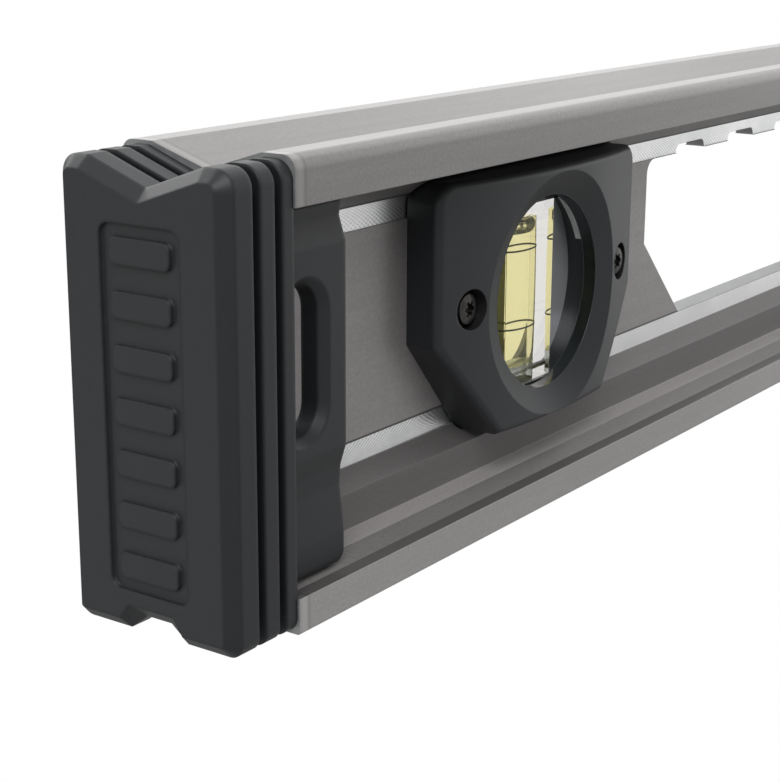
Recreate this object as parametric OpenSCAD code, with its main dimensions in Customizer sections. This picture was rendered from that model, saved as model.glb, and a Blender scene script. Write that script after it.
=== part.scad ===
// I-beam spirit level with one level vial, two plumb vials and moulded end caps.
// X runs along the beam, Y across it (front is -Y), Z is up. The working face rests on Z = 0
// and the origin is at the middle of that face. All sizes are in millimetres.

/* [Level] */
// Length over both end caps
level_length = 610; // [560:1:1200]
// Height of the beam over its two working faces
level_height = 60; // [59:0.5:66]
// Width of the flanges
level_width = 27.4; // [27:0.1:32]

/* [Beam section] */
// Thickness of the web
web_thickness = 4; // [3.4:0.1:5]
// Height of the web's middle above the lower face
web_middle = 31.2; // [30.8:0.1:31.6]
// Half of the height of the flat part of the web
web_half_height = 18; // [17.9:0.1:18.4]
// Width of the shoulders where the web meets the flanges
shoulder_width = 9.2; // [8:0.1:10]
// Height of the sloping face of a shoulder
shoulder_slope = 2.5; // [1.5:0.1:3]
// Thickness of the upper flange at the shoulder
top_root = 7; // [6.4:0.1:7.4]
// Thickness of the upper flange at its edge
top_lip = 6.2; // [5:0.1:6.6]
// Thickness of the lower flange at the shoulder
bottom_root = 5.6; // [5.2:0.1:6.4]
// Thickness of the lower flange at its edge
bottom_lip = 4.8; // [4.6:0.1:5.4]
// Distance from the beam's middle plane to the outer edge of the flanges' raised inner strip
strip_edge = 8.3; // [7:0.1:9.5]
// Distance from the beam's middle plane to the hollow between that strip and the lip
hollow_place = 11; // [10.4:0.1:11.8]
// Depth of that hollow below the edge of the flange
hollow_depth = 0.34; // [0:0.02:0.6]
// Width of the V groove in the upper face
v_width = 17.5; // [12:0.5:19]
// Depth of the V groove in the upper face
v_depth = 2.75; // [1:0.05:3.2]
// Radius of the upper outer corners
top_corner_r = 1.8; // [0.5:0.1:2.4]
// Radius of the lower outer corners
bottom_corner_r = 0.3; // [0.2:0.1:1.6]
// Width of the bare milled bands along the web
band_width = 3.25; // [2:0.05:3.5]
// Depth of the milled bands
band_depth = 0.25; // [0.1:0.05:0.5]

/* [Hand holes] */
// Distance from the end of the beam to the hand hole
hand_hole_start = 113; // [106:1:125]
// Height of the hand hole, between the milled bands
hand_hole_height = 29.4; // [24:0.1:30]
// Height of the slanted lower corners
hand_hole_slant = 14.8; // [6:0.1:16]
// Radius of the upper corners of the hand hole
hand_hole_r = 2.5; // [1:0.1:5]
// Distance from the hand hole's end to the first finger notch
notch_start = 11.3; // [8:0.1:16]
// Distance from one finger notch to the next
notch_pitch = 21.65; // [16:0.05:26]
// Length of a finger notch
notch_length = 11.5; // [8:0.1:14]
// Depth of a finger notch
notch_depth = 1.5; // [0.8:0.1:2.4]
// Number of finger notches in a hand hole
notch_count = 6; // [3:1:6]

/* [Vial housings] */
// Height of the vials' centres above the lower face
vial_height = 31.3; // [31:0.1:31.5]
// Height of a housing's middle above the vial's centre
housing_rise = 0.4; // [0:0.1:0.5]
// Distance from the end of the beam to the plumb vial
plumb_place = 68.9; // [60:0.1:74]
// Length of a housing along the beam
housing_length = 57.8; // [54:0.2:60]
// Height of a housing
housing_height = 38.6; // [38:0.1:39]
// Distance from the beam's middle plane to the middle of a housing's face
housing_depth = 11; // [9.5:0.1:12.5]
// Radius of a housing's bowed face
housing_bow_r = 113; // [80:1:300]
// Length of the slanted lower corners along the beam
housing_slant_x = 13.1; // [6:0.1:15]
// Height of the slanted lower corners
housing_slant_z = 15.3; // [6:0.1:17]
// Radius of the upper corners
housing_corner_r = 3.5; // [1:0.1:6]
// Radius of the rounding along a housing's face border
border_r = 1.2; // [0.6:0.1:2]
// Inner diameter of the front housing's round window
window_d = 29.8; // [26:0.2:29.8]
// Outer diameter of the window's bevel at the middle of the bowed face
bevel_d = 37.4; // [33:0.2:37.4]
// Depth of the window's bevel
bevel_depth = 2.6; // [1:0.1:3]
// Thickness of the lip inside the front window
lip_thickness = 2.2; // [1:0.1:2.6]
// Diameter of the chamber behind the lip, and of the rear housing's window
chamber_d = 34.6; // [34:0.1:35]
// Clearance between a housing and the beam's shoulders
housing_clearance = 0.25; // [0.1:0.05:0.5]

/* [Vials] */
// Width of a vial's clear body
vial_width = 13.9; // [12:0.1:15]
// Thickness of a vial's clear body
vial_thickness = 10; // [9.6:0.1:11]
// Length of a vial's clear body
vial_length = 28.7; // [28:0.1:29]
// Distance that an upright vial's clear body lies below the middle of its marks
vial_drop = 0.65; // [0:0.05:0.8]
// Height of the ledges in front of and behind the clear body's ends
ledge_height = 0.3; // [0.2:0.05:0.5]
// Thickness of those ledges
ledge_width = 0.7; // [0.5:0.1:1]
// Clearance between the clear body and its seat
vial_clearance = 0.1; // [0.05:0.05:0.3]
// Largest diameter of the barrel-shaped cavity
cavity_d = 8.8; // [7.6:0.1:9.2]
// Smaller diameter of the cavity at its ends
cavity_end_d = 8.4; // [7:0.1:8.6]
// Length of the cavity that holds the liquid
cavity_length = 22.9; // [21:0.1:24]
// Height of an upright vial's bubble
plumb_bubble_height = 2.2; // [1.8:0.1:3.4]
// Diameter of an upright vial's bubble
plumb_bubble_d = 8; // [6.4:0.1:8.1]
// Length of the level vial's bubble
level_bubble_length = 11; // [8:0.1:13]
// Width of the level vial's bubble
level_bubble_d = 5.2; // [4:0.1:6]
// Depth of the level vial's bubble below the cavity's wall
level_bubble_depth = 3; // [2:0.1:3.6]
// Clearance between a bubble and the liquid round it
bubble_clearance = 0.05; // [0.03:0.01:0.08]
// Clearance between the liquid and the cavity's wall
liquid_clearance = 0.02; // [0.01:0.01:0.02]

/* [Screws] */
// Distance from a housing's centre to each screw
screw_place = 22.2; // [21.4:0.1:23]
// Height of the screws above the vial's centre
screw_rise = 1.2; // [0:0.1:1.4]
// Diameter of the counterbore
counterbore_d = 6; // [5.4:0.1:7]
// Diameter of the screw's head
screw_head_d = 4.4; // [4:0.1:5]
// Height of the screw's head
screw_head_height = 1.8; // [1.2:0.1:2.4]
// Rise of the head's domed top
screw_dome = 0.4; // [0.2:0.05:0.8]
// Depth of the head below the bowed face
screw_sink = 0.3; // [0.1:0.1:1]
// Diameter of the screw's shank
screw_d = 2.6; // [2:0.1:3]
// Length of the screw's shank
screw_length = 13; // [10:0.5:13.5]
// Width of the lobed drive across its lobes
drive_d = 2.5; // [1.6:0.1:3]
// Diameter of each lobe of the drive
lobe_d = 0.6; // [0.4:0.05:0.7]
// Diameter of the drive's round core
drive_core_d = 1.7; // [1.4:0.05:1.9]
// Depth of the lobed drive
drive_depth = 1; // [0.5:0.1:1.4]
// Clearance round the shank in the housings
screw_clearance = 0.05; // [0.02:0.01:0.2]
// Depth of a screw's hole past the tip of its shank
screw_tip_gap = 0.3; // [0.1:0.1:0.6]
// Clearance round the shank in the web
web_hole_clearance = 0.4; // [0.2:0.1:0.8]

/* [End caps] */
// Thickness of the cap's outer block
cap_block = 4.8; // [4:0.1:8]
// Width of each groove round the cap
cap_groove = 1.5; // [1:0.1:2.5]
// Depth of the grooves
cap_groove_depth = 2.6; // [1:0.1:3.2]
// Width of the rib between the grooves
cap_middle_rib = 2.5; // [1.5:0.1:4]
// Width of the rib that meets the beam
cap_end_rib = 2; // [1.5:0.1:4]
// Distance that the cap's sides and bottom lie inside the beam's outline
cap_inset = 0.3; // [0.1:0.05:0.8]
// Distance that the cap's top lies below the beam's
cap_drop = 0.5; // [0.1:0.05:0.8]
// Chamfer round the cap's face
cap_chamfer = 1.65; // [0.6:0.05:2]
// Radius of the cap's upper corners
cap_corner_r = 2.6; // [2.2:0.1:3.2]
// Radius of the cap's lower corners
cap_low_corner_r = 2; // [1.9:0.1:3.2]
// Depth of the V in the cap's top
cap_v_depth = 3.2; // [2:0.1:4]
// Width of the notch in the cap's bottom at its mouth
cap_notch_mouth = 9.4; // [6:0.2:11]
// Width of the notch in the cap's bottom at its top
cap_notch_top = 4; // [2:0.2:5]
// Depth of the notch in the cap's bottom
cap_notch_depth = 2.1; // [0.8:0.1:2.4]
// Width of the plain recessed panel in the cap's face
panel_width = 12.6; // [8:0.2:14]
// Height of the recessed panel
panel_height = 46; // [30:1:47]
// Distance that the panel's middle lies below the cap's middle
panel_drop = 1; // [0:0.1:2]
// Depth of the recessed panel
panel_depth = 0.6; // [0.3:0.1:1.2]
// Radius of the panel's corners
panel_r = 1.5; // [0.5:0.1:3]
// Number of grip bars in the panel
bar_count = 7; // [4:1:9]
// Height of each grip bar
bar_height = 3.4; // [2:0.1:4]
// Radius of the grip bars' corners
bar_r = 1; // [0.2:0.1:1]
// Length of the cheeks inside the beam's channels
cheek_length = 13.4; // [11:0.1:20]
// Distance from the beam's middle plane to the cheek's raised pad
cheek_reach = 11; // [10.8:0.1:12]
// Thickness of the cheek's wall
cheek_wall = 3.7; // [2.5:0.1:4.4]
// Depth of the hollows above and below the cheek's pad
cheek_hollow = 1; // [0.4:0.1:1.2]
// Distance that the cheek's foot lies behind its pad
cheek_foot_inset = 0.4; // [0.2:0.1:0.8]
// Distance that the cheek's foot hangs below the groove's root
cheek_foot_drop = 0.5; // [0.2:0.1:0.6]
// Distance from the shoulder down to the foot's upper edge
cheek_foot_gap = 1.2; // [0.6:0.1:1.6]
// Height of the lower hollow's floor above the web's foot
hollow_low = 2.5; // [2:0.1:3.4]
// Height of the lower hollow's top above the web's foot
hollow_high = 5.1; // [4:0.1:6]
// Height of the pad's lower edge above the web's foot
pad_low = 8; // [7:0.1:9]
// Distance from the web's top down to the pad's upper edge
pad_gap = 1.4; // [0.8:0.1:2]
// Height of the upper hollow above the web's top
hollow_rise = 1.7; // [1:0.1:2.4]
// Lean of the hollows' floors
hollow_lean = 0.3; // [0.1:0.1:0.4]
// Clearance between a cheek and the beam
cheek_clearance = 0.12; // [0.05:0.01:0.3]
// Radius of the cheek's free corners
cheek_corner_r = 1.6; // [0.5:0.1:3]

/* [Hang holes] */
// Width of the hang hole
hang_width = 7.5; // [5:0.1:8]
// Height of the hang hole
hang_height = 19.4; // [14:0.1:21]
// Chamfer round the hang hole
hang_chamfer = 1.15; // [0.5:0.05:1.3]
// Distance from the end of the beam to the hang hole's middle
hang_place = 5.2; // [5.2:0.1:6]
// Height of the hang hole's middle above the lower face
hang_z = 33.6; // [31:0.1:34]
// Clearance round the hang hole in the web
hang_clearance = 0.5; // [0.2:0.1:0.8]

/* [Hidden] */
$fn = 64;
eps = 0.01;
core_corner_r = 0.4;                     // smallest corner radius on the cap

cap_length = cap_block + 2 * cap_groove + cap_middle_rib + cap_end_rib;
beam_length = level_length - 2 * cap_length;
half_width = level_width / 2;
web_half = web_thickness / 2;
shoulder_half = shoulder_width / 2;
cut = level_width;                       // reach of a cut that passes right through
plumb_x = beam_length / 2 - plumb_place; // place of a plumb vial from the middle

// heights on the section, from the lower face up
z_low_root = bottom_root;
z_low_shoulder = web_middle - web_half_height - shoulder_slope;
z_low_web = web_middle - web_half_height;
z_top_web = web_middle + web_half_height;
z_top_shoulder = web_middle + web_half_height + shoulder_slope;
z_top_root = level_height - top_root;
z_top_lip = level_height - top_lip;

// hand hole, measured from the end of the beam
hand_hole_length = 2 * notch_start + (notch_count - 1) * notch_pitch + notch_length;

// housing window planes, as distances from the beam's middle plane
bevel_y = housing_depth - bevel_depth;
lip_y = bevel_y - lip_thickness;
seat_y = vial_thickness / 2 + vial_clearance;
ledge_y = seat_y + ledge_width;
bow_centre = housing_depth - housing_bow_r;
screw_face_y = bow_centre + sqrt(pow(housing_bow_r, 2) - pow(screw_place, 2));
screw_top_y = screw_face_y - screw_sink;
screw_under_y = screw_top_y - screw_head_height;

cavity_rise = (cavity_d - cavity_end_d) / 2; // how far the cavity swells between its ends
border_steps = 4;                         // flats across the rounding of a housing's border
bow_sides = 240;                          // sides of the cylinder that bows a housing's face
barrel_steps = 12;                        // short cones that make up the swell
plug_length = (vial_length - cavity_length) / 2;

col_beam = "#a8a39f";
col_rubber = "#3a3d40";
col_black = "#2e3235";
col_clear = "#dfe9ea";
col_liquid = "#e2e56e";
col_bubble = "#f6f8ee";
col_screw = "#3c3c3a";

// Helpers

function unit(v) = v / norm(v);

// A polygon with every edge moved inwards by d; points run anticlockwise
function inset(pts, d) = [for (i = [0:len(pts) - 1])
    let (n = len(pts), p = pts[i], u = unit(p - pts[(i + n - 1) % n]), v = unit(pts[(i + 1) % n] - p),
         nu = [-u[1], u[0]], nv = [-v[1], v[0]], m = nu + nv)
    p + m * (d / (1 + nu * nv))];

// A shape drawn in (Y, Z) and drawn out along X from x0 to x1
module along_x(x0, x1) {
    translate([x0, 0, 0]) rotate([90, 0, 90]) linear_extrude(x1 - x0) children();
}

// A shape drawn in (X, Z) and drawn out along Y from y0 to y1
module along_y(y0, y1) {
    translate([0, y1, 0]) rotate([90, 0, 0]) linear_extrude(y1 - y0) children();
}

// An upright slot with round ends, in the drawing plane
module slot(w, h) {
    square([w, h - w], center = true);
    for (s = [-1, 1]) translate([0, s * (h - w) / 2]) circle(d = w);
}

// A rectangle with round corners, in the drawing plane
module round_rectangle(w, h, r) {
    square([w - 2 * r, h], center = true);
    square([w, h - 2 * r], center = true);
    for (sx = [-1, 1], sy = [-1, 1]) translate([sx * (w / 2 - r), sy * (h / 2 - r)]) circle(r);
}

// Beam

module half_section() {
    polygon([
        [0, 0], [half_width - bottom_corner_r, 0], [half_width, bottom_corner_r],
        [half_width, bottom_lip], [hollow_place, bottom_lip - hollow_depth],
        [strip_edge, bottom_root - hollow_depth / 4], [shoulder_half, z_low_root],
        [shoulder_half, z_low_shoulder], [web_half, z_low_web],
        [web_half, z_top_web], [shoulder_half, z_top_shoulder],
        [shoulder_half, z_top_root], [strip_edge, z_top_root + hollow_depth / 4],
        [hollow_place, z_top_lip + hollow_depth], [half_width, z_top_lip],
        [half_width, level_height - top_corner_r], [half_width - top_corner_r, level_height],
        [v_width / 2, level_height], [0, level_height - v_depth]
    ]);
    translate([half_width - top_corner_r, level_height - top_corner_r]) circle(top_corner_r);
    translate([half_width - bottom_corner_r, bottom_corner_r]) circle(bottom_corner_r);
}

module section() {
    half_section();
    mirror([1, 0]) half_section();
}

// Bare bands milled into both faces of the web, next to the shoulders
module milled_bands() {
    for (s = [0, 1], z = [z_low_web, z_top_web - band_width])
        mirror([0, s, 0]) translate([-beam_length, web_half - band_depth, z])
            cube([2 * beam_length, shoulder_half - web_half + band_depth, band_width]);
}

// The hand hole at the left end; its lower corners are slanted, its upper edge has finger notches
module hand_hole() {
    x0 = -beam_length / 2 + hand_hole_start;
    x1 = x0 + hand_hole_length;
    z0 = web_middle - hand_hole_height / 2;
    z1 = web_middle + hand_hole_height / 2;
    along_y(-cut, cut) {
        polygon([
            [x0 + hand_hole_slant, z0], [x1 - hand_hole_slant, z0], [x1, z0 + hand_hole_slant],
            [x1, z1 - hand_hole_r], [x1 - hand_hole_r, z1],
            [x0 + hand_hole_r, z1], [x0, z1 - hand_hole_r], [x0, z0 + hand_hole_slant]
        ]);
        for (x = [x0 + hand_hole_r, x1 - hand_hole_r]) translate([x, z1 - hand_hole_r]) circle(hand_hole_r);
        for (i = [0:notch_count - 1]) translate([x0 + notch_start + i * notch_pitch, z1]) {
            translate([notch_depth, -eps]) square([notch_length - 2 * notch_depth, notch_depth + eps]);
            for (x = [notch_depth, notch_length - notch_depth]) translate([x, 0]) circle(notch_depth);
        }
    }
}

// The housing's outline round the vial's centre, made larger by grow on every side
module housing_outline(grow = 0) translate([0, housing_rise]) {
    w = housing_length / 2;
    h = housing_height / 2;
    r = housing_corner_r + grow;
    difference() {
        polygon(inset([
            [-w + housing_slant_x, -h], [w - housing_slant_x, -h], [w, -h + housing_slant_z],
            [w, h], [-w, h], [-w, -h + housing_slant_z]
        ], -grow));
        for (s = [-1, 1]) translate([s * (w + grow), h + grow]) square(2 * r, center = true);
    }
    for (s = [-1, 1]) translate([s * (w + grow - r), h + grow - r]) circle(r);
}

// A housing before its cuts: a bowed front with a rounded border
module housing_blank() hull() {
    along_y(-web_half - eps, -web_half) housing_outline();
    for (i = [0:border_steps]) let (a = 90 * i / border_steps, r = housing_bow_r - border_r * (1 - sin(a)))
        intersection() {
            along_y(-housing_depth, -web_half) housing_outline(-border_r * (1 - cos(a)));
            translate([0, -bow_centre, 0]) difference() {
                cylinder(h = 2 * housing_height, r = r, center = true, $fn = bow_sides);
                cylinder(h = 3 * housing_height, r = r - 2 * eps, center = true, $fn = bow_sides);
            }
        }
}

// What the beam loses at a vial station: the vial's slot, the screw holes and the shoulders' relief
module station_cuts(turn, drop) {
    along_y(-cut, cut) {
        translate([0, -drop]) rotate(turn)
            square([vial_width + 4 * vial_clearance, vial_length + 4 * vial_clearance], center = true);
        for (s = [-1, 1]) translate([s * screw_place, screw_rise])
            circle(d = screw_d + 2 * web_hole_clearance);
    }
    for (s = [0, 1]) mirror([0, s, 0])
        along_y(web_half, half_width + eps) housing_outline(housing_clearance);
}

module at_stations() {
    for (s = [[-plumb_x, 0, vial_drop], [0, 90, 0], [plumb_x, 0, vial_drop]])
        translate([s[0], 0, vial_height]) station_cuts(s[1], s[2]);
}

module beam() color(col_beam) difference() {
    along_x(-beam_length / 2, beam_length / 2) section();
    milled_bands();
    for (s = [0, 1]) mirror([s, 0, 0]) {
        hand_hole();
        translate([-beam_length / 2 + hang_place, 0, hang_z]) along_y(-cut, cut)
            slot(hang_width + 2 * hang_clearance, hang_height + 2 * hang_clearance);
    }
    at_stations();
}

// End caps

cap_half = half_width - cap_inset;
cap_low = cap_inset;
cap_high = level_height - cap_drop;
cap_v_half = v_width / 2 + cap_inset;
cap_points = [
    [cap_notch_mouth / 2, cap_low], [cap_half, cap_low], [cap_half, cap_high], [cap_v_half, cap_high],
    [0, cap_high - cap_v_depth], [-cap_v_half, cap_high], [-cap_half, cap_high], [-cap_half, cap_low],
    [-cap_notch_mouth / 2, cap_low], [-cap_notch_top / 2, cap_low + cap_notch_depth],
    [cap_notch_top / 2, cap_low + cap_notch_depth]
];

// The cap's outline with its edges moved inwards by d
module cap_outline(d = 0) {
    // each entry is a corner's height, its radius and the way out of the outline
    ends = [[cap_low + d, max(cap_low_corner_r - d, core_corner_r), -1],
            [cap_high - d, max(cap_corner_r - d, core_corner_r), 1]];
    difference() {
        polygon(inset(cap_points, d));
        for (sx = [-1, 1], e = ends) translate([sx * (cap_half - d), e[0]]) square(2 * e[1], center = true);
    }
    for (sx = [-1, 1], e = ends) translate([sx * (cap_half - d - e[1]), e[0] - e[2] * e[1]]) circle(e[1]);
}

// A slanted cut along one edge of the face; the edge starts at (y, z) and a is its direction
module edge_cut(y, z, a, l) {
    translate([-cap_length, y, z]) rotate([a, 0, 0]) rotate([-90, 0, 0]) linear_extrude(l)
        polygon([[-1, cap_chamfer + 1], [-1, -1], [cap_chamfer + 1, -1]]);
}

// The chamfer round the face, cut edge by edge on one half of the cap
module face_chamfer() {
    v_angle = atan2(cap_v_depth, cap_v_half);
    intersection() {
        union() {
            edge_cut(cap_half, level_height, -90, level_height);
            edge_cut(half_width, cap_low, 180, level_width);
            edge_cut(0, cap_high, 0, level_width);
            translate([0, 0, cap_high - cap_v_depth]) rotate([v_angle, 0, 0])
                edge_cut(-cap_chamfer, 0, 0, level_width);
            for (e = [[cap_low, cap_low_corner_r, 1], [cap_high, cap_corner_r, -1]])
                translate([-cap_length, cap_half - e[1], e[0] + e[2] * e[1]]) difference() {
                    translate([-1, 0, e[2] > 0 ? -level_width : 0])
                        cube([cap_chamfer + 1, level_width, level_width]);
                    rotate([0, 90, 0]) cylinder(h = cap_chamfer, r1 = e[1] - cap_chamfer, r2 = e[1]);
                }
        }
        translate([-cap_length - 1, 0, -1]) cube([cap_length, level_width, level_height + 2]);
    }
}

// The notch in the cap's bottom widens and deepens through the chamfer
module notch_flare() hull() for (t = [0, cap_chamfer]) let (g = cap_chamfer - t)
    along_x(-cap_length + t - eps, -cap_length + t) polygon([
        [-cap_notch_mouth / 2 - g, -g], [cap_notch_mouth / 2 + g, -g],
        [cap_notch_mouth / 2 + g, cap_low], [cap_notch_top / 2 + g, cap_low + cap_notch_depth + g],
        [-cap_notch_top / 2 - g, cap_low + cap_notch_depth + g], [-cap_notch_mouth / 2 - g, cap_low]
    ]);

// One cheek's section: a raised pad, pinched above and below it, with feet that reach the web
module cheek_section() {
    c = cheek_clearance;
    y_in = cheek_reach - cheek_wall;
    foot = web_half + c;
    step = shoulder_half + c;
    base = cheek_reach - cheek_hollow;
    foot_y = cheek_reach - cheek_foot_inset;
    polygon([
        [foot_y, bottom_root - cheek_foot_drop + c], [foot_y, z_low_shoulder - cheek_foot_gap],
        [base - hollow_lean / 3, z_low_web + hollow_low], [base + hollow_lean / 3, z_low_web + hollow_high],
        [cheek_reach, z_low_web + pad_low], [cheek_reach, z_top_web - pad_gap],
        [base, z_top_web + hollow_rise], [base + hollow_lean, z_top_root - c],
        [step, z_top_root - c], [step, z_top_shoulder - c], [foot, z_top_web - c],
        [foot, z_top_web - band_width], [y_in, z_top_web - band_width],
        [y_in, z_low_web + band_width], [foot, z_low_web + band_width],
        [foot, z_low_web + c], [step, z_low_shoulder + c], [step, z_low_root + c],
        [strip_edge, z_low_root + c]
    ]);
}

module left_cap() {
    x_face = -cap_length;
    x_block = x_face + cap_block;
    difference() {
        union() {
            along_x(x_face, x_block) cap_outline();
            along_x(x_block - eps, 0) cap_outline(cap_groove_depth);
            along_x(x_block + cap_groove, x_block + cap_groove + cap_middle_rib) cap_outline();
            along_x(-cap_end_rib, 0) cap_outline();
            intersection() {
                along_x(-eps, cheek_length) {
                    cheek_section();
                    mirror([1, 0]) cheek_section();
                }
                along_y(-half_width, half_width) translate([0, level_height / 2])
                    round_rectangle(2 * cheek_length, z_top_root - z_low_root + cheek_corner_r,
                                    cheek_corner_r);
            }
        }
        for (s = [0, 1]) mirror([0, s, 0]) face_chamfer();
        notch_flare();
        translate([x_face, 0, level_height / 2 - panel_drop]) rotate([90, 0, 90]) difference() {
            translate([0, 0, -eps]) linear_extrude(panel_depth + eps)
                round_rectangle(panel_width, panel_height, panel_r);
            for (i = [0:bar_count - 1])
                translate([0, (i - (bar_count - 1) / 2) * (panel_height / bar_count), -1])
                    linear_extrude(panel_depth + 2)
                        round_rectangle(panel_width - 2 * panel_r, bar_height, bar_r);
        }
        translate([hang_place, 0, hang_z]) {
            along_y(-cut, cut) slot(hang_width, hang_height);
            for (s = [0, 1]) mirror([0, s, 0]) hang_rim();
        }
    }
}

// The chamfer round the hang hole on one cheek
module hang_rim() {
    r = hang_width / 2;
    translate([0, -cheek_reach, 0]) rotate([-90, 0, 0]) {
        for (s = [-1, 1]) translate([0, s * (hang_height - hang_width) / 2, 0])
            cylinder(h = hang_chamfer, r1 = r + hang_chamfer, r2 = r);
        rotate([90, 0, 0]) linear_extrude(hang_height - hang_width, center = true)
            polygon([[-r - hang_chamfer, 0], [r + hang_chamfer, 0], [r, hang_chamfer], [-r, hang_chamfer]]);
    }
}

module left_end_cap() color(col_rubber) translate([-beam_length / 2, 0, 0]) left_cap();

module right_end_cap() color(col_rubber) mirror([1, 0, 0]) translate([-beam_length / 2, 0, 0]) left_cap();

// Vial stations, drawn round the vial's centre

// A ring on the straight lines that run from the window's edge, on a flat plane, to a circle on the
// bowed face; t is 0 at the window's edge and 1 at the face, and w is the window's diameter
function bevel_ring(t, n, w) = [for (i = [0:n - 1]) let (
    c = cos(360 * i / n), s = sin(360 * i / n),
    face = bow_centre + sqrt(pow(housing_bow_r, 2) - pow(bevel_d / 2 * c, 2)),
    r = w / 2 + t * (bevel_d - w) / 2)
    [r * c, -(bevel_y + t * (face - bevel_y)), r * s]];

// The dish that cuts the bevel
module bevel_dish(w) {
    n = 72;
    polyhedron(
        points = concat(bevel_ring(1.5, n, w), bevel_ring(-0.1, n, w),
                        [[0, -2 * housing_depth, 0], [0, -lip_y, 0]]),
        faces = [for (i = [0:n - 1]) let (j = (i + 1) % n) each
            [[n + j, n + i, i], [j, n + j, i], [2 * n, j, i], [2 * n + 1, n + i, n + j]]]);
}

// The round chamber with two flats, grow apart from the clear body's ends
module chamber(turn, drop, grow) intersection() {
    circle(d = chamber_d);
    translate([0, -drop]) rotate(turn) square([chamber_d, vial_length + 2 * grow], center = true);
}

// The front half of a housing; turn lays the vial's seat along the beam and drop lowers it
module housing(turn, drop, rear = false) {
    difference() {
        housing_blank();
        along_y(-housing_depth - eps, -ledge_y) circle(d = rear ? chamber_d : window_d);
        along_y(rear ? -ledge_y - eps : -lip_y, 0) chamber(turn, drop, vial_clearance);
        bevel_dish(rear ? chamber_d : window_d);
        for (s = [-1, 1]) translate([s * screw_place, 0, screw_rise])
            if (rear)
                along_y(screw_under_y - screw_length - screw_tip_gap, 0)
                    circle(d = screw_d + 2 * screw_clearance);
            else {
                along_y(-housing_depth, 0) circle(d = screw_d + 2 * screw_clearance);
                along_y(-housing_depth, -screw_under_y) circle(d = counterbore_d);
            }
    }
    along_y(-ledge_y, -seat_y) difference() {
        chamber(turn, drop, vial_clearance + eps);
        chamber(turn, drop, -ledge_height);
    }
}

module front_housing(turn, drop) color(col_black) housing(turn, drop);

module rear_housing(turn, drop) color(col_black) mirror([0, 1, 0]) housing(turn, drop, rear = true);

// Radius of the barrel-shaped cavity at height z
function barrel_r(z) = cavity_d / 2 - cavity_rise * pow(2 * z / cavity_length, 2);

// The barrel-shaped cavity, upright round its centre and made smaller by shrink
module barrel(shrink = 0) {
    h = cavity_length / 2 - shrink;
    rotate_extrude() polygon(concat([[0, -h]],
        [for (i = [0:barrel_steps]) let (z = -h + 2 * h * i / barrel_steps) [barrel_r(z) - shrink, z]],
        [[0, h]]));
}

// A vial's pieces stand upright; lying() turns them along the beam with the plug towards -X
module lying(turn) {
    rotate([0, turn, 0]) children();
}

module vial_body(turn) color(col_clear, 0.5) lying(turn) difference() {
    cube([vial_width, vial_thickness, vial_length], center = true);
    barrel();
    translate([0, 0, -vial_length / 2 - eps]) cylinder(h = plug_length + 2 * eps, d = cavity_end_d);
}

module vial_plug(turn) color(col_clear, 0.6) lying(turn)
    translate([0, 0, -vial_length / 2]) cylinder(h = plug_length, d = cavity_end_d);

// The upright vial's bubble, a flat round cushion under the cavity's upper end
module plumb_bubble_solid(grow = 0) {
    h = plumb_bubble_height / 2 + grow;
    flat = plumb_bubble_d / 2 - plumb_bubble_height / 2;
    translate([0, 0, plumb_bubble_z]) rotate_extrude() {
        translate([0, -h]) square([flat, 2 * h]);
        intersection() {
            translate([flat, 0]) circle(h);
            translate([0, -h]) square([plumb_bubble_d, 2 * h]);
        }
    }
}

// The level vial's bubble, long and round-ended; its upper side lies along the cavity's wall
module level_bubble_shape(grow = 0) {
    r = level_bubble_d / 2 + grow;
    l = level_bubble_length - level_bubble_d;
    translate([0, 0, cavity_end_d / 2 - level_bubble_depth + level_bubble_d / 2]) rotate([0, 90, 0]) {
        cylinder(h = l, r = r, center = true);
        for (s = [-1, 1]) translate([0, 0, s * l / 2]) sphere(r);
    }
}

module level_bubble_solid() intersection() {
    level_bubble_shape();
    rotate([0, 90, 0]) cylinder(h = cavity_length, d = cavity_end_d - 2 * bubble_clearance, center = true);
}

plumb_bubble_z = cavity_length / 2 - plumb_bubble_height / 2 - bubble_clearance;

module plumb_liquid() color(col_liquid, 0.8) difference() {
    barrel(liquid_clearance);
    plumb_bubble_solid(bubble_clearance);
    translate([0, 0, plumb_bubble_z])
        cylinder(h = cavity_length, d = plumb_bubble_d - plumb_bubble_height + 2 * bubble_clearance);
}

module level_liquid() color(col_liquid, 0.8) difference() {
    lying(90) barrel(liquid_clearance);
    level_bubble_shape(bubble_clearance);
}

module lobed_drive() {
    circle(d = drive_core_d);
    for (a = [0:60:300]) rotate(a) translate([(drive_d - lobe_d) / 2, 0]) circle(d = lobe_d);
}

// The head is a short cylinder whose top is part of a sphere
module screw_head() {
    dome_r = (pow(screw_head_d / 2, 2) + pow(screw_dome, 2)) / (2 * screw_dome);
    translate([0, -screw_under_y, 0]) rotate([90, 0, 0]) intersection() {
        cylinder(h = screw_head_height, d = screw_head_d);
        translate([0, 0, screw_head_height - dome_r]) sphere(dome_r);
    }
}

module screw() {
    difference() {
        screw_head();
        along_y(-screw_top_y - eps, -screw_top_y + drive_depth) lobed_drive();
    }
    along_y(-screw_under_y - eps, -screw_under_y + screw_length) circle(d = screw_d);
}

module housing_screws() color(col_screw)
    for (s = [-1, 1]) translate([s * screw_place, 0, screw_rise]) screw();

// Placed nodes

module at_left(drop = 0) translate([-plumb_x, 0, vial_height - drop]) children();
module at_middle() translate([0, 0, vial_height]) children();
module at_right(drop = 0) translate([plumb_x, 0, vial_height - drop]) children();

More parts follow.
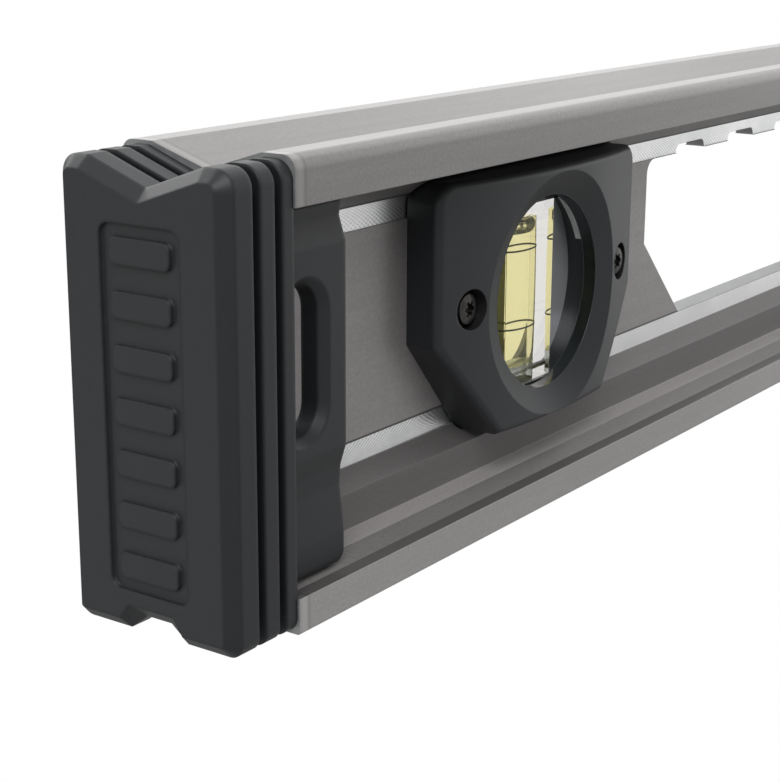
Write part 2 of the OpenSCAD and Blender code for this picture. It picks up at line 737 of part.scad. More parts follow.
module left_front_housing() at_left() front_housing(0, vial_drop);
module left_rear_housing() at_left() rear_housing(0, vial_drop);
module left_vial_body() at_left(vial_drop) vial_body(0);
module left_vial_liquid() at_left(vial_drop) plumb_liquid();
module left_vial_bubble() at_left(vial_drop) color(col_bubble) plumb_bubble_solid();
module left_vial_plug() at_left(vial_drop) vial_plug(0);
module left_housing_screws() at_left() housing_screws();

module level_front_housing() at_middle() front_housing(90, 0);
module level_rear_housing() at_middle() rear_housing(90, 0);
module level_vial_body() at_middle() vial_body(90);
module level_vial_liquid() at_middle() level_liquid();
module level_vial_bubble() at_middle() color(col_bubble) level_bubble_solid();
module level_vial_plug() at_middle() vial_plug(90);
module level_housing_screws() at_middle() housing_screws();

module right_front_housing() at_right() front_housing(0, vial_drop);
module right_rear_housing() at_right() rear_housing(0, vial_drop);
module right_vial_body() at_right(vial_drop) vial_body(0);
module right_vial_liquid() at_right(vial_drop) plumb_liquid();
module right_vial_bubble() at_right(vial_drop) color(col_bubble) plumb_bubble_solid();
module right_vial_plug() at_right(vial_drop) vial_plug(0);
module right_housing_screws() at_right() housing_screws();

beam();
left_end_cap();
right_end_cap();
left_front_housing();
left_rear_housing();
left_vial_body();
left_vial_liquid();
left_vial_bubble();
left_vial_plug();
left_housing_screws();
level_front_housing();
level_rear_housing();
level_vial_body();
level_vial_liquid();
level_vial_bubble();
level_vial_plug();
level_housing_screws();
right_front_housing();
right_rear_housing();
right_vial_body();
right_vial_liquid();
right_vial_bubble();
right_vial_plug();
right_housing_screws();
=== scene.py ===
"""I-beam level: the looks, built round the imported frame.

Sizes are written in millimetres, and MM turns them into Blender's metres.
"""
import math
import bmesh
import bpy
from mathutils import Matrix, Vector


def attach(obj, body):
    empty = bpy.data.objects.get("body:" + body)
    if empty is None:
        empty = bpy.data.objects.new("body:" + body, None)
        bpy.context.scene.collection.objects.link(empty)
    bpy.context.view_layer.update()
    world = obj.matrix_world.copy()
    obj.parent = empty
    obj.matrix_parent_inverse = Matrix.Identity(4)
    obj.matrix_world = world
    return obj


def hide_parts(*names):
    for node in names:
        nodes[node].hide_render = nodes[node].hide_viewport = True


MM = 0.001

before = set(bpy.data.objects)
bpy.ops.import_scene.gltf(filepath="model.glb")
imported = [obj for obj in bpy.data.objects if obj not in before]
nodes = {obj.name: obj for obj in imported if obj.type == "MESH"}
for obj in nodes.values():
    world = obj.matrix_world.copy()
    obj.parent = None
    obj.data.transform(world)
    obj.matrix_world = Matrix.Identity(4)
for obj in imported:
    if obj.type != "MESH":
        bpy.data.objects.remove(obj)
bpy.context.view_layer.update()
scene = bpy.context.scene


def extent(node):
    """Middle and size of a node's box, in millimetres."""
    points = [v.co / MM for v in nodes[node].data.vertices]
    low, high = (Vector([pick(p[i] for p in points) for i in range(3)]) for pick in (min, max))
    return (low + high) / 2, high - low


# Sizes of the beam; y is counted from its middle plane to both sides

BEAM_END = extent("beam")[1].x / 2
PLUMB_X = extent("right_vial_body")[0].x     # from the middle to each plumb vial
WEB_Y = 2.0                                  # sides of the web
BAND_Y = (1.7, 1.85)                         # the milled bands, cut a little deeper
HOLES_X = (30, 260)                          # stretch of each half that has the hand hole in it
STRIP_Y, STRIP_Z = (4.5, 8.4), 8             # the lower flange's raised inner strip
SIDE_Y, SIDE_Z = 13.4, 6                     # the lower flange's outer side
SHOULDER_Y, SHOULDER_Z = (2, 4.8), (5.5, 13.3)   # the lower shoulder and its slope
HOLLOW_Y, HOLLOW_Z = 10.9, 5                 # the lower flange from its hollow to its edge

# Sizes of the vial stations; y is counted from the middle plane to both sides

WINDOW_Z = 31.3                    # height of the windows' centres
WINDOW_R = 14.9                    # a front housing's window
CHAMBER_R = 17.3                   # the round chamber, and a rear housing's window
FACE_Y, FACE_R = 11.0, 113.0       # top of the bowed face, and its radius
BEVEL_Y, BEVEL_R = 8.4, 18.7       # the bevel's inner plane, and its outer radius
SCREW_X, SCREW_Z = 22.2, 1.2       # a screw's place from the window's centre
COUNTERBORE_R = 3.0
BLOCK_EDGE = 0.15                  # chamfers of a clear block
BARREL_R, BARREL_FALL = 4.38, 0.2  # radius of a vial's cavity, and how much it narrows to the ends
RING_PLACE = 6.1                   # from the middle of a vial's marks to each of them
RING_STAND = 0.03                  # how far a ring stands off the cavity
RING_IN, RING_OUT = -0.02, 0.05    # its two faces, counted from there
RING_HALF = 0.14                   # half its width

# Small things in a front window; their y is negative, as in the frame

LIP_EDGES = (-8.36, -6.25)         # the outer and inner edge of the window's lip
BEAD_R = 0.07                      # radius of the beads on them
BEAD_STAND = 0.03                  # how far a bead's middle lies outside the window's edge
# A painted reflection: a light grey strip on the glossy chamber wall stands for the clear vial block
# reflected there
REFLECTION_START, REFLECTION_SWEEP = 18, 44    # degrees round the window's centre
REFLECTION_DEPTHS = (0.02, 0.2)          # the painted reflection's two faces, from the chamber's wall
REFLECTION_SIDES = (-5.3, 1.1), (-3.8, 1.4)  # each long side: its y at the start, and how far it drifts


# Helpers for nodes


def feed(tree, socket, value):
    """Link a socket to another one, or give it a fixed value."""
    if isinstance(value, bpy.types.NodeSocket):
        tree.links.new(value, socket)
    else:
        socket.default_value = value


def add(tree, kind, inputs=None, **settings):
    """A new node with its settings and inputs."""
    node = tree.nodes.new(kind)
    for key, value in settings.items():
        setattr(node, key, value)
    for key, value in (inputs or {}).items():
        feed(tree, node.inputs[key], value)
    return node


def calc(tree, operation, first, second=0.0):
    return add(tree, "ShaderNodeMath", {0: first, 1: second}, operation=operation).outputs[0]


def noise(tree, coords, scale, detail, rough, stretch=(1, 1, 1)):
    """Noise on the object's coordinates; a small stretch draws it out along that axis."""
    place = add(tree, "ShaderNodeMapping", {"Vector": coords, "Scale": stretch}).outputs[0]
    inputs = {"Vector": place, "Scale": scale, "Detail": detail, "Roughness": rough}
    return add(tree, "ShaderNodeTexNoise", inputs).outputs["Fac"]


def mapped(tree, value, low, high, first, second):
    """A value's range from low to high turned into the range from first to second."""
    inputs = {"Value": value, "From Min": low, "From Max": high, "To Min": first, "To Max": second}
    return add(tree, "ShaderNodeMapRange", inputs).outputs[0]


def mixed(tree, share, first, second):
    return add(tree, "ShaderNodeMix", {0: share, 6: first, 7: second}, data_type="RGBA").outputs[2]


def two_tone(tree, grain, first, second):
    """A colour between two, by the value of a noise."""
    return mixed(tree, mapped(tree, grain, 0.3, 0.7, 0, 1), first, second)


def new_material(name):
    """An empty material and its tree."""
    made = bpy.data.materials.new(name)
    made.use_nodes = True
    made.node_tree.nodes.clear()
    return made, made.node_tree


def object_coords(tree):
    return add(tree, "ShaderNodeTexCoord").outputs["Object"]


def surface(tree, color, rough, metallic, height, strength, relief, edge):
    """Principled surface with edges rounded by edge and a relief of that height, both in millimetres."""
    soft = add(tree, "ShaderNodeBevel", {"Radius": edge * MM}, samples=6).outputs[0]
    inputs = {"Height": height, "Strength": strength, "Distance": relief * MM, "Normal": soft}
    bumpy = add(tree, "ShaderNodeBump", inputs).outputs[0]
    inputs = {"Base Color": color, "Roughness": rough, "Metallic": metallic, "Normal": bumpy}
    shader = add(tree, "ShaderNodeBsdfPrincipled", inputs).outputs[0]
    add(tree, "ShaderNodeOutputMaterial", {"Surface": shader})


# Materials of the beam

COAT_DARK, COAT_LIGHT = (0.255, 0.244, 0.240), (0.325, 0.314, 0.310)
STREAK_COLOR, CLOUD_COLOR = (0.22, 0.210, 0.206), (0.235, 0.224, 0.220)
VEIL_SHARE = 0.22                  # the most that a streak or a cloud covers
# Painted reflection: the web inside each chamber is painted light and bluish, for the clear vial's light
LIT_WEB_DARK, LIT_WEB_LIGHT = (0.50, 0.52, 0.55, 1), (0.78, 0.81, 0.85, 1)
LIT_WEB_FADE = 0.2                    # width over which the painted light fades into the coat
# Painted highlight, and a painted shade line beside it, on the coat near the beam's ends, for light on the
# end's edge: distance from the end, half the width, and colour
END_HIGHLIGHT = (1.0, 0.8, (0.335, 0.323, 0.318))
END_SHADE_LINE = (2.0, 0.35, (0.235, 0.224, 0.22))
# Painted shadow lines along the top edges of the milled bands: half their width, and colour
SHADOW_LINE_HALF, SHADOW_LINE_COLOR = 0.3, (0.07, 0.068, 0.066)
CORE = 0.3                         # part of a line's half width that has its full colour


def coat(name, tone, rough=0.38, shadow_lines=(), lit_chambers=()):
    """Grey satin coat with a fine metallic grain and faint streaks; tone makes a copy lighter or darker, as
    painted light and shade on parts of the beam.

    seams are the heights of thin painted shadow lines along the top edges of the milled bands. bare gives the
    distances from the beam's middle at which the web inside a housing's chamber is painted light and bluish,
    a painted reflection of the clear vial's light. Near the beam's ends a painted highlight stands for light
    on the end's edge, with a painted shade line beside it.
    """
    def toned(color):
        return tuple(tone * c for c in color) + (1,)

    made, tree = new_material(name)
    coords = object_coords(tree)
    grain = noise(tree, coords, scale=2200, detail=3, rough=0.7)
    streak = noise(tree, coords, scale=700, detail=2, rough=0.6, stretch=(0.03, 1, 1))
    cloud = noise(tree, coords, scale=90, detail=3, rough=0.6, stretch=(0.25, 1, 1))
    color = two_tone(tree, grain, toned(COAT_DARK), toned(COAT_LIGHT))
    for veil, shade in ((streak, STREAK_COLOR), (cloud, CLOUD_COLOR)):
        color = mixed(tree, mapped(tree, veil, 0.35, 0.65, 0, VEIL_SHARE), color, toned(shade))

    axes = add(tree, "ShaderNodeSeparateXYZ", {"Vector": coords}).outputs
    along, height = calc(tree, "ABSOLUTE", axes[0]), axes[2]
    depth = calc(tree, "SUBTRACT", BEAM_END * MM, along)
    # Painted highlight and painted shade lines near the ends, and painted shadow lines at the bands
    painted_lines = [(depth, *END_HIGHLIGHT), (depth, *END_SHADE_LINE)]
    painted_lines += [(height, z, SHADOW_LINE_HALF, SHADOW_LINE_COLOR) for z in shadow_lines]
    for value, place, half, shade in painted_lines:
        off = calc(tree, "ABSOLUTE", calc(tree, "SUBTRACT", value, place * MM))
        share = mapped(tree, off, CORE * half * MM, half * MM, 1, 0)
        color = mixed(tree, share, color, toned(shade))

    # Painted reflection: the web inside each chamber is painted light and bluish
    for x in lit_chambers:
        across = calc(tree, "SUBTRACT", along, x * MM)
        up = calc(tree, "SUBTRACT", height, WINDOW_Z * MM)
        square = calc(tree, "ADD", calc(tree, "MULTIPLY", across, across), calc(tree, "MULTIPLY", up, up))
        share = mapped(tree, calc(tree, "SQRT", square), CHAMBER_R * MM, (CHAMBER_R + LIT_WEB_FADE) * MM, 1, 0)
        color = mixed(tree, share, color, mixed(tree, cloud, LIT_WEB_DARK, LIT_WEB_LIGHT))
    surface(tree, color, rough, metallic=0.45, height=grain, strength=0.12, relief=0.04, edge=0.2)
    return made


CUTTER_R = 18.7
OUT_PITCH, BACK_PITCH = 0.95, 1.05      # spacing of the cutter's arcs on its way out and back
MILLED_DARK, MILLED_LIGHT = (0.88, 0.88, 0.87, 1), (0.97, 0.97, 0.96, 1)
ARC_COLOR = (0.44, 0.46, 0.49, 1)


def milled():
    """Bare aluminium with the arcs of a cutter; those of its way back are fainter and patchy."""
    made, tree = new_material("milled_aluminium")
    coords = object_coords(tree)
    axes = add(tree, "ShaderNodeSeparateXYZ", {"Vector": coords}).outputs
    up = calc(tree, "SUBTRACT", axes[2], WINDOW_Z * MM)
    reach = calc(tree, "SUBTRACT", (CUTTER_R * MM) ** 2, calc(tree, "MULTIPLY", up, up))
    bow = calc(tree, "SQRT", calc(tree, "MAXIMUM", reach, 0.0))
    arcs = []
    for operation, pitch in (("SUBTRACT", OUT_PITCH), ("ADD", BACK_PITCH)):
        place = calc(tree, operation, axes[0], bow)
        wave = calc(tree, "SINE", calc(tree, "MULTIPLY", place, 2 * math.pi / (pitch * MM)))
        arcs.append(mapped(tree, wave, -1, 1, 0, 1))
    patches = mapped(tree, noise(tree, coords, scale=60, detail=1, rough=0.5), 0.42, 0.58, 0, 0.8)
    height = calc(tree, "ADD", arcs[0], calc(tree, "MULTIPLY", arcs[1], patches))
    fine = noise(tree, coords, scale=900, detail=2, rough=0.6)
    color = two_tone(tree, fine, MILLED_DARK, MILLED_LIGHT)
    color = mixed(tree, mapped(tree, height, 0.2, 1.0, 0.55, 0), color, ARC_COLOR)
    surface(tree, color, rough=0.33, metallic=1.0, height=height, strength=0.4, relief=0.03, edge=0.15)
    return made


# Materials of the other pieces


def moulding(name, color, rough, edge=0.3):
    """Moulded plastic with a fine matte grain."""
    made, tree = new_material(name)
    grain = noise(tree, object_coords(tree), scale=1500, detail=3, rough=0.6)
    lighter = tuple(1.3 * c for c in color)
    tones = two_tone(tree, grain, (*color, 1), (*lighter, 1))
    surface(tree, tones, rough, metallic=0.0, height=grain, strength=0.12, relief=0.03, edge=edge)
    return made


def scuffed(name, color, rough, metallic=0.0, scale=1200, spread=0.3, stretch=(1, 1, 1), bump=0.08):
    """A small part's surface: its colour varies a little with fine grain or, when stretched, tool marks."""
    made, tree = new_material(name)
    grain = noise(tree, object_coords(tree), scale, detail=3, rough=0.6, stretch=stretch)
    darker, lighter = (tuple(share * c for c in color) + (1,) for share in (1 - spread, 1 + spread))
    wear = mapped(tree, grain, 0.3, 0.7, 0.85 * rough, 1.15 * rough)
    tones = two_tone(tree, grain, darker, lighter)
    surface(tree, tones, wear, metallic, height=grain, strength=bump, relief=0.02, edge=0.1)
    return made


def clear(name, color, ior, glow=None, share=0.0):
    """Clear stuff; glow is the colour of the light that its tint scatters back, and share its part."""
    made, tree = new_material(name)
    shader = add(tree, "ShaderNodeBsdfGlass", {"Color": (*color, 1), "Roughness": 0.0, "IOR": ior}).outputs[0]
    if glow:
        haze = add(tree, "ShaderNodeBsdfTranslucent", {"Color": (*glow, 1)}).outputs[0]
        shader = add(tree, "ShaderNodeMixShader", {0: share, 1: shader, 2: haze}).outputs[0]
    add(tree, "ShaderNodeOutputMaterial", {"Surface": shader})
    return made


# Lit and shaded copies of the coat: it is painted lighter on the web, the strip and the side (painted light),
# and painted darker on the shoulder and by the hollow (painted shade)
BEAM_LOOKS = {
    "coat": coat("satin_coat", tone=1.0, shadow_lines=(49.35,)),
    "web": coat("satin_coat_web_painted_light", tone=1.2, shadow_lines=(16.55,), lit_chambers=(0, PLUMB_X)),
    "side": coat("satin_coat_lip_painted_light", tone=1.45),
    "shoulder": coat("satin_coat_corner_painted_shade", tone=0.60, rough=0.46),
    "strip": coat("satin_coat_shelf_painted_light", tone=2.0),
    "band": milled(),
    "cut": scuffed("cut_edge", (0.285, 0.288, 0.292), rough=0.45, metallic=0.4, scale=900, spread=0.12,
                   stretch=(0.2, 1, 1)),
}
CAP = moulding("cap_moulding", (0.0096, 0.0109, 0.0128), rough=0.50, edge=0.7)
HOUSING_LOOKS = {
    "outside": moulding("housing_moulding", (0.0098, 0.0117, 0.0141), rough=0.42),
    # The bevel's copy of the moulding has a darker colour, painted shade, and a rougher surface
    "bevel": moulding("bevel_moulding_painted_shade", (0.0080, 0.0095, 0.0113), rough=0.52),
    "chamber": scuffed("gloss_black", (0.010, 0.0125, 0.013), rough=0.12, scale=500, spread=0.15, bump=0.02),
    # Counterbore walls in near black: painted shade in the screw holes
    "screw_hole": scuffed("screw_hole_painted_shade", (0.002, 0.002, 0.002), rough=0.6),
}
ACRYLIC = clear("acrylic", (0.93, 0.925, 0.92), ior=1.49)
# The liquid and the plug lie in the clear block, and the bubble in the liquid: their IOR is relative to it
LIQUID = clear("liquid", (1.0, 0.965, 0.70), ior=0.985, glow=(0.90, 0.97, 0.45), share=0.07)
AIR = clear("air", (1, 1, 1), ior=0.70)
PLUG = clear("plug", (0.97, 0.99, 0.98), ior=0.985, glow=(0.80, 0.84, 0.76), share=0.4)
RING = scuffed("ring_print", (0.05, 0.05, 0.012), rough=0.5)
# Painted reflection: a light grey metallic strip stands for the vial block reflected in the chamber wall
CHAMBER_REFLECTION = scuffed("painted_reflection_grey", (0.80, 0.82, 0.81), rough=0.42, metallic=0.6, scale=700, spread=0.15,
               stretch=(1, 1, 0.2))
BEAD = scuffed("gloss_bead", (0.03, 0.033, 0.036), rough=0.20)
SCREW = scuffed("dark_steel", (0.065, 0.062, 0.06), rough=0.4, metallic=0.9, scale=1500)


def paint(obj, *looks):
    """Give an object these materials, in this order."""
    obj.data.materials.clear()
    for look in looks:
        obj.data.materials.append(look)


# Beam and end caps

FACING = 0.9          # a flat looks along an axis where its normal has more than this
EDGE_ON = 0.3         # a flat of a hole's wall has less than this across the web


def beam_look(middle, normal):
    """Key in BEAM_LOOKS for a flat of the beam."""
    x, y, z = abs(middle.x), abs(middle.y), middle.z
    along, side, up = abs(normal.x), abs(normal.y), normal.z
    if y < WEB_Y - 0.001 and side < EDGE_ON and HOLES_X[0] < x < HOLES_X[1]:
        return "cut"
    if along > FACING and x > BEAM_END - 1:
        return "cut"
    if side > FACING and BAND_Y[0] < y < BAND_Y[1]:
        return "band"
    if side > FACING and abs(y - WEB_Y) < 0.1:
        return "web"
    if up > FACING and STRIP_Y[0] < y < STRIP_Y[1] and z < STRIP_Z:
        return "strip"
    if side > FACING and y > SIDE_Y and z < SIDE_Z:
        return "side"
    if SHOULDER_Y[0] < y < SHOULDER_Y[1] and SHOULDER_Z[0] < z < SHOULDER_Z[1]:
        return "shoulder"
    if up > FACING and y > HOLLOW_Y and z < HOLLOW_Z:
        return "shoulder"
    return "coat"


beam = nodes["beam"]
paint(beam, *BEAM_LOOKS.values())
for flat in beam.data.polygons:
    flat.material_index = list(BEAM_LOOKS).index(beam_look(flat.center / MM, flat.normal))

for end in ("left", "right"):
    paint(nodes[f"{end}_end_cap"], CAP)


# Housings

JOIN_WITHIN, SLIVER = 0.002, 0.0001           # points nearer than this are joined; shorter edges go
SHARP_ANGLE = 25                              # degrees between two flats that meet in a sharp edge
NEAR_PLANE, NEAR_BOW, NEAR_HOLE = 0.05, 0.03, 0.02   # how closely a point has to lie on each
# How far a flat's normal looks out of the housing's face, from 0 to 1
BEVEL_OUT = (0.4, 0.97)
WALL_OUT, FACE_OUT = 0.5, 0.7                 # the most for a hole's wall, the least for the face


def cleaned(node):
    """A free copy of a node, with doubled points joined."""
    obj = nodes[node].copy()
    mesh = obj.data = nodes[node].data.copy()
    obj.name = node + "_moulding"
    scene.collection.objects.link(obj)
    work = bmesh.new()
    work.from_mesh(mesh)
    bmesh.ops.remove_doubles(work, verts=work.verts, dist=JOIN_WITHIN * MM)
    bmesh.ops.dissolve_degenerate(work, edges=work.edges, dist=SLIVER * MM)
    work.to_mesh(mesh)
    work.free()
    for name in ("custom_normal", "sharp_face"):
        if name in mesh.attributes:
            mesh.attributes.remove(mesh.attributes[name])
    for flat in mesh.polygons:
        flat.use_smooth = True
    mesh.set_sharp_from_angle(angle=math.radians(SHARP_ANGLE))
    return obj


class Face:
    """The form of a housing's outside, for its materials and its smooth shading.

    side is -1 for a front housing and 1 for a rear one.
    """

    def __init__(self, x, side, window_r):
        self.x, self.side, self.window_r = x, side, window_r

    def bow(self, x):
        """Height of the bowed face at a distance from its middle."""
        return FACE_Y - FACE_R + math.sqrt(FACE_R ** 2 - x * x)

    def on_bow(self, point):
        return abs(self.side * point.y - self.bow(point.x - self.x)) < NEAR_BOW

    def bow_normal(self, point):
        lean = (point.x - self.x) / FACE_R
        return Vector((lean, self.side * math.sqrt(1 - lean ** 2), 0))

    def radius(self, point):
        return math.hypot(point.x - self.x, point.z - WINDOW_Z)

    def bevel_point(self, angle, share):
        """A point of the bevel, from its inner edge at share 0 to its outer edge at share 1."""
        r = self.window_r + share * (BEVEL_R - self.window_r)
        y = BEVEL_Y + share * (self.bow(BEVEL_R * math.cos(angle)) - BEVEL_Y)
        return Vector((r * math.cos(angle), self.side * y, r * math.sin(angle)))

    def bevel_normal(self, point):
        angle = math.atan2(point.z - WINDOW_Z, point.x - self.x)
        share = (self.radius(point) - self.window_r) / (BEVEL_R - self.window_r)
        step = 0.01
        around = self.bevel_point(angle + step, share) - self.bevel_point(angle - step, share)
        across = self.bevel_point(angle, 1) - self.bevel_point(angle, 0)
        normal = around.cross(across).normalized()
        return normal if normal.y * self.side > 0 else -normal

    def look(self, middle, normal):
        """Key in HOUSING_LOOKS for a flat."""
        r = self.radius(middle)
        y = self.side * middle.y
        out = self.side * normal.y
        leans = BEVEL_OUT[0] < out < BEVEL_OUT[1]
        if self.window_r < r < BEVEL_R and leans and y > BEVEL_Y - NEAR_PLANE:
            return "bevel"
        if r < CHAMBER_R + NEAR_PLANE and y < BEVEL_Y + NEAR_PLANE:
            return "chamber"
        from_screw = math.hypot(abs(middle.x - self.x) - SCREW_X, middle.z - WINDOW_Z - SCREW_Z)
        if from_screw < COUNTERBORE_R + NEAR_HOLE and (abs(out) < WALL_OUT or y < BEVEL_Y):
            return "screw_hole"
        return "outside"


def housing(node, x, side, window_r):
    """A housing with its materials, and with true normals on its bowed face and its bevel."""
    obj = cleaned(node)
    mesh = obj.data
    face = Face(x, side, window_r)
    paint(obj, *HOUSING_LOOKS.values())
    points = [v.co / MM for v in mesh.vertices]
    normals = [(0, 0, 0)] * len(mesh.loops)
    for flat in mesh.polygons:
        look = face.look(flat.center / MM, flat.normal)
        flat.material_index = list(HOUSING_LOOKS).index(look)
        for corner in flat.loop_indices:
            point = points[mesh.loops[corner].vertex_index]
            if look == "bevel":
                normals[corner] = face.bevel_normal(point)
            elif look == "outside" and face.on_bow(point) and side * flat.normal.y > FACE_OUT:
                normals[corner] = face.bow_normal(point)
    mesh.normals_split_custom_set(normals)
    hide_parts(node)
    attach(obj, "level")


# Pieces drawn here


def mesh_object(name, points, faces, look, smooth=False):
    mesh = bpy.data.meshes.new(name)
    mesh.from_pydata([tuple(Vector(p) * MM) for p in points], [], faces)
    mesh.update()
    obj = bpy.data.objects.new(name, mesh)
    scene.collection.objects.link(obj)
    mesh.materials.append(look)
    for flat in mesh.polygons:
        flat.use_smooth = smooth
    return obj


def turned(name, profile, look, steps=96):
    """A body of revolution round Z from (r, z) points; r = 0 closes it."""
    angles = [2 * math.pi * i / steps for i in range(steps)]
    points, rings = [], []
    for r, z in profile:
        ring = [(r * math.cos(a), r * math.sin(a), z) for a in angles] if r else [(0, 0, z)]
        rings.append(range(len(points), len(points) + len(ring)))
        points += ring
    faces = []
    for low, high in zip(rings, rings[1:]):
        for i in range(steps):
            j = (i + 1) % steps
            if len(low) == 1:
                faces.append((low[0], high[j], high[i]))
            elif len(high) == 1:
                faces.append((low[i], low[j], high[0]))
            else:
                faces.append((low[i], low[j], high[j], high[i]))
    return mesh_object(name, points, faces, look, smooth=True)


def block(name, size):
    """A clear box round the origin with small chamfers."""
    hx, hy, hz = (s / 2 for s in size)
    points = [(sx * hx, sy * hy, sz * hz) for sx in (-1, 1) for sy in (-1, 1) for sz in (-1, 1)]
    faces = [(0, 1, 3, 2), (4, 6, 7, 5), (0, 4, 5, 1), (2, 3, 7, 6), (0, 2, 6, 4), (1, 5, 7, 3)]
    obj = mesh_object(name, points, faces, ACRYLIC)
    edge = obj.modifiers.new("edge", "BEVEL")
    edge.width = BLOCK_EDGE * MM
    edge.segments = 2
    return obj


def reflection_strip(name, x, steps=16):
    """A short curved light strip on the front chamber's wall, up and to the right of the vial: a painted
    reflection of the clear vial block in the glossy wall.
    """
    points = []
    for i in range(steps + 1):
        angle = math.radians(REFLECTION_START + REFLECTION_SWEEP * i / steps)
        for depth in REFLECTION_DEPTHS:
            r = CHAMBER_R - depth
            for start, drift in REFLECTION_SIDES:
                y = start + drift * i / steps
                points.append((x + r * math.cos(angle), y, WINDOW_Z + r * math.sin(angle)))
    last = 4 * steps
    faces = [(0, 1, 3, 2), (last, last + 2, last + 3, last + 1)]
    for k in range(0, last, 4):
        faces += [(k + a, k + b, k + b + 4, k + a + 4) for a, b in ((0, 2), (2, 3), (3, 1), (1, 0))]
    return mesh_object(f"{name}_painted_reflection_strip", points, faces, CHAMBER_REFLECTION)


def bead(name, x, y, steps=12):
    """A thin raised bead round an edge of the front housing's lip."""
    middle_r = WINDOW_R + BEAD_STAND
    angles = [2 * math.pi * i / steps for i in range(steps + 1)]
    profile = [(middle_r + BEAD_R * math.cos(a), BEAD_R * math.sin(a)) for a in angles]
    obj = turned(name, profile, BEAD, steps=144)
    place = Matrix.Translation((x * MM, y * MM, WINDOW_Z * MM))
    obj.matrix_world = place @ Matrix.Rotation(math.radians(90), 4, "X")
    return obj


def barrel(z, half):
    """Radius of a vial's cavity at a distance from its middle."""
    return BARREL_R - BARREL_FALL * (z / half) ** 2


def spirit(name, half, steps=8):
    """The liquid, a barrel round Z."""
    wall = [(barrel(z, half), z) for z in (half * i / steps for i in range(-steps, steps + 1))]
    return turned(name, [(0, -half), *wall, (0, half)], LIQUID)


def ring(name, z, half):
    """A printed mark round the vial's cavity."""
    r = barrel(z, half) + RING_STAND
    corners = [(RING_IN, -RING_HALF), (RING_OUT, -RING_HALF), (RING_OUT, RING_HALF), (RING_IN, RING_HALF)]
    corners.append(corners[0])
    return turned(name, [(r + a, z + b) for a, b in corners], RING)


# Vial stations


def station(name, lying):
    """Housings, screws, clear body, liquid and marks of one vial; lying along the beam or upright."""
    middle, size = extent(f"{name}_vial_body")
    x = 0 if lying else middle.x
    turn = Matrix.Rotation(math.radians(90), 4, "Y") if lying else Matrix()
    housing(f"{name}_front_housing", x, -1, WINDOW_R)
    housing(f"{name}_rear_housing", x, 1, CHAMBER_R)

    body = block(f"{name}_vial_block", size)
    body.location = middle * MM
    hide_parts(f"{name}_vial_body")

    half = max(extent(f"{name}_vial_liquid")[1]) / 2
    liquid = spirit(f"{name}_vial_spirit", half)
    liquid.matrix_world = Matrix.Translation(middle * MM) @ turn
    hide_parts(f"{name}_vial_liquid")

    rings = [ring(f"{name}_vial_ring_{i}", z, half) for i, z in enumerate((-RING_PLACE, RING_PLACE))]
    for mark in rings:
        mark.matrix_world = Matrix.Translation((x * MM, 0, WINDOW_Z * MM)) @ turn
    beads = [bead(f"{name}_lip_bead_{i}", x, y) for i, y in enumerate(LIP_EDGES)]
    for obj in (body, liquid, reflection_strip(name, x), *rings, *beads):
        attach(obj, "level")

    paint(nodes[f"{name}_housing_screws"], SCREW)
    paint(nodes[f"{name}_vial_plug"], PLUG)
    paint(nodes[f"{name}_vial_bubble"], AIR)


station("left", lying=False)
station("right", lying=False)
station("level", lying=True)

# Surroundings: white to the camera and through glass, weaker for gloss, and weakest as light

SHINE, AMBIENT = 0.5, 0.22

world = bpy.data.worlds.new("surroundings")
scene.world = world
world.use_nodes = True
sky = world.node_tree
sky.nodes.clear()
white, shine, ambient = (
    add(sky, "ShaderNodeBackground", {"Color": (1, 1, 1, 1), "Strength": strength}).outputs[0]
    for strength in (1.0, SHINE, AMBIENT))
path = add(sky, "ShaderNodeLightPath").outputs
seen = calc(sky, "MAXIMUM", path["Is Camera Ray"], path["Is Transmission Ray"])
unseen = add(sky, "ShaderNodeMixShader", {0: path["Is Glossy Ray"], 1: ambient, 2: shine}).outputs[0]
both = add(sky, "ShaderNodeMixShader", {0: seen, 1: unseen, 2: white}).outputs[0]
add(sky, "ShaderNodeOutputWorld", {"Surface": both})

# Lamps: square softboxes aimed near the left plumb vial, in metres

AIM = Vector((-0.2, 0, 0.03))
LAMP_DISTANCE, LAMP_SIZE = 2.0, 1.1
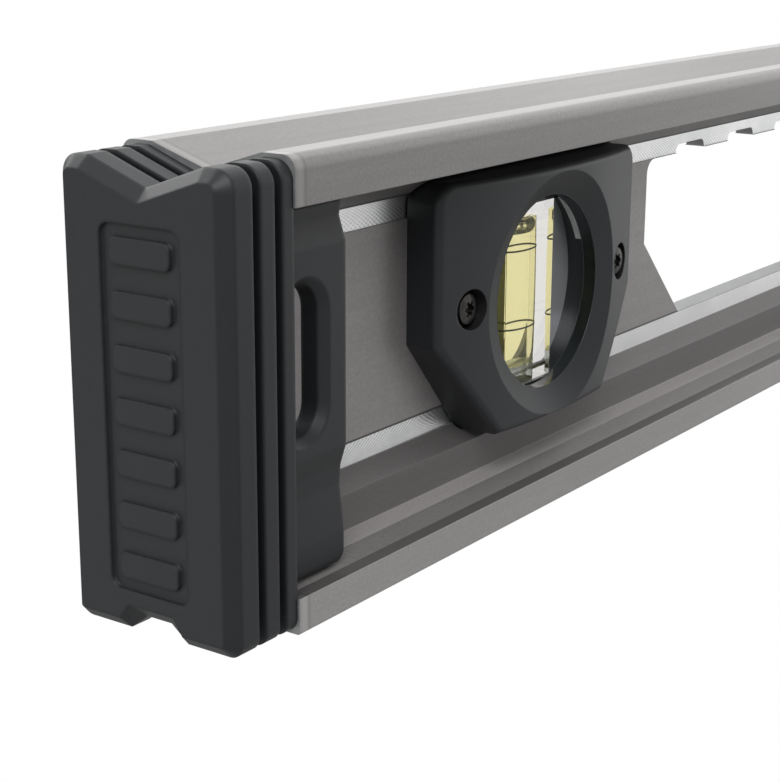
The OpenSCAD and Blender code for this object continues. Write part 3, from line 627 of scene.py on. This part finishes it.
# Degrees from +X towards +Y, degrees above the horizon, and watts
LAMPS = {
    "back_low": (35, 10, 5.5),
    "back_high": (35, 55, 4.9),
    "right_low": (0, 20, 3.8),
    "right_high": (0, 50, 3.6),
    "front_right": (-33, 15, 2.3),
    "front_low": (-9, 1, 2.5),
    "front_left": (-52, -12, 0.7),
    "left_low": (150, -12, 3.0),
    "left_high": (150, 30, 2.1),
    "far_side": (80, 35, 19.3),
    "near_side": (-145, 45, 26.0),
}
for name, (azimuth, elevation, watts) in LAMPS.items():
    a, e = math.radians(azimuth), math.radians(elevation)
    away = Vector((math.cos(a) * math.cos(e), math.sin(a) * math.cos(e), math.sin(e)))
    lamp = bpy.data.lights.new(name, "AREA")
    lamp.size = LAMP_SIZE
    lamp.energy = watts
    obj = bpy.data.objects.new(name, lamp)
    scene.collection.objects.link(obj)
    obj.location = AIM + LAMP_DISTANCE * away
    obj.rotation_mode = "QUATERNION"
    obj.rotation_quaternion = (-away).to_track_quat("-Z", "Y")
    obj.visible_transmission = False

# Camera, fitted to the photograph's straight edges; its place is in metres

CAMERA_PLACE = (-0.452848, -0.139801, 0.087824)
YAW, PITCH, ROLL = (math.radians(a) for a in (35.087, 15.387, -0.257))
FOCAL_PIXELS, PHOTO_PIXELS = 1756.9, 780     # the photograph's focal length and width
SENSOR = 36

forward = Vector((math.cos(YAW) * math.cos(PITCH), math.sin(YAW) * math.cos(PITCH), -math.sin(PITCH)))
level_right = Vector((math.sin(YAW), -math.cos(YAW), 0))
level_up = level_right.cross(forward)
right = math.cos(ROLL) * level_right - math.sin(ROLL) * level_up
up = math.cos(ROLL) * level_up + math.sin(ROLL) * level_right
lens = bpy.data.cameras.new("camera")
lens.sensor_fit = "HORIZONTAL"
lens.sensor_width = SENSOR
lens.lens = FOCAL_PIXELS / PHOTO_PIXELS * SENSOR
lens.clip_start, lens.clip_end = 0.01, 10
camera = bpy.data.objects.new("camera", lens)
scene.collection.objects.link(camera)
turn = Matrix((right, up, -forward)).transposed().to_4x4()
camera.matrix_world = Matrix.Translation(CAMERA_PLACE) @ turn
scene.camera = camera
scene.view_settings.view_transform = "Standard"
